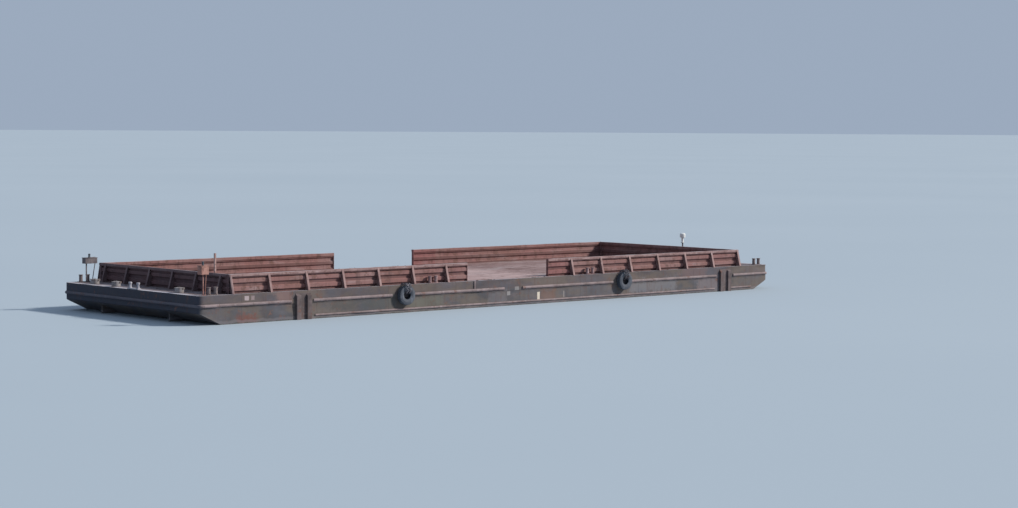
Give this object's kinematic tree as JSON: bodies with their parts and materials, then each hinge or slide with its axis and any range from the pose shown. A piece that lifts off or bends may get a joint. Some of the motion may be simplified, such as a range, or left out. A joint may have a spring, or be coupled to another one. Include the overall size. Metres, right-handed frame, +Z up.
{
  "type": "half-size scale model of a deck cargo barge",
  "caption": "Flat-bottomed steel deck barge with raked ends, a low ribbed cargo bin open on both sides amidships, rub rails, tyre fenders, bitts and hinged hatch lids.",
  "frame": {"origin": "on the flat bottom, midway along the length and across the beam", "axes": "+X to the bow, +Y to port, +Z up; metres at half the real size"},
  "size_m": [30.1114, 9.6596, 3.23],
  "materials": {
    "hull_paint": "weathered grey-brown paint with rust and a pale waterline",
    "bin_plate": "rusty red-brown primer, streaked",
    "strut_steel": "faded pinkish primer with rust",
    "rail_steel": "scuffed pinkish-grey steel",
    "post_steel": "dark scuffed steel with rust",
    "mooring_steel": "worn paint, polished by lines",
    "chain_steel": "rusty chain",
    "tyre_rubber": "old grey-black rubber",
    "stand_paint": "faded paint with rust",
    "hatch_paint": "worn pale paint with rust",
    "lantern_white": "white moulded plastic",
    "lamp_lens": "lamp body with a clear lens"
  },
  "bodies": {
    "barge": {"bin_wall_starboard_aft": "bin_plate", "struts_starboard_aft": "strut_steel", "bin_wall_starboard_fore": "bin_plate", "struts_starboard_fore": "strut_steel", "rub_rail_starboard": "rail_steel", "lower_rail_starboard": "rail_steel", "fender_posts_starboard_aft": "post_steel", "fender_posts_starboard_fore": "post_steel", "tyre_fender_starboard_aft": "tyre_rubber", "fender_chain_starboard_aft": "chain_steel", "tyre_fender_starboard_fore": "tyre_rubber", "fender_chain_starboard_fore": "chain_steel", "bitts_starboard_stern": "mooring_steel", "bitts_starboard_aft": "mooring_steel", "bitts_starboard_fore": "mooring_steel", "bitts_starboard_bow": "mooring_steel", "bin_wall_port_aft": "bin_plate", "struts_port_aft": "strut_steel", "bin_wall_port_fore": "bin_plate", "struts_port_fore": "strut_steel", "rub_rail_port": "rail_steel", "lower_rail_port": "rail_steel", "fender_posts_port_aft": "post_steel", "fender_posts_port_fore": "post_steel", "tyre_fender_port_aft": "tyre_rubber", "fender_chain_port_aft": "chain_steel", "tyre_fender_port_fore": "tyre_rubber", "fender_chain_port_fore": "chain_steel", "bitts_port_stern": "mooring_steel", "bitts_port_aft": "mooring_steel", "bitts_port_fore": "mooring_steel", "bitts_port_bow": "mooring_steel", "bin_wall_stern": "bin_plate", "struts_stern": "strut_steel", "rub_rail_stern": "rail_steel", "stern_chock": "mooring_steel", "bin_wall_bow": "bin_plate", "struts_bow": "strut_steel", "rub_rail_bow": "rail_steel", "hull": "hull_paint", "skeg_starboard": "hull_paint", "skeg_port": "hull_paint", "tow_bracket_starboard": "mooring_steel", "tow_bracket_port": "mooring_steel", "hatch_coaming_stern_centre": "hatch_paint", "hatch_coaming_stern_starboard": "hatch_paint", "hatch_coaming_stern_port": "hatch_paint", "hatch_coaming_bow_centre": "hatch_paint", "light_stand_starboard": "stand_paint", "stern_lamp_starboard": "lamp_lens", "light_stand_port": "stand_paint", "stern_lamp_port": "lamp_lens", "bow_mast": "stand_paint", "bow_lantern": "lantern_white", "stern_stanchion": "strut_steel"},
    "lid_stern_centre": {"hatch_lid_stern_centre": "hatch_paint"},
    "lid_stern_starboard": {"hatch_lid_stern_starboard": "hatch_paint"},
    "lid_stern_port": {"hatch_lid_stern_port": "hatch_paint"},
    "lid_bow_centre": {"hatch_lid_bow_centre": "hatch_paint"}
  },
  "joints": [
    {"name": "lid_stern_centre_hinge", "type": "hinge", "parent": "barge", "child": "lid_stern_centre", "pos_m": [-14.48, 1.375, 2.0045], "axis": [0, 1, 0], "range_deg": [0, 105]},
    {"name": "lid_stern_starboard_hinge", "type": "hinge", "parent": "barge", "child": "lid_stern_starboard", "pos_m": [-14.405, -2.675, 2.0045], "axis": [0, 1, 0], "range_deg": [0, 105]},
    {"name": "lid_stern_port_hinge", "type": "hinge", "parent": "barge", "child": "lid_stern_port", "pos_m": [-14.405, 2.975, 2.0045], "axis": [0, 1, 0], "range_deg": [0, 105]},
    {"name": "lid_bow_centre_hinge", "type": "hinge", "parent": "barge", "child": "lid_bow_centre", "pos_m": [14.195, -0.725, 1.9695], "axis": [0, -1, 0], "range_deg": [0, 105]}
  ]
}
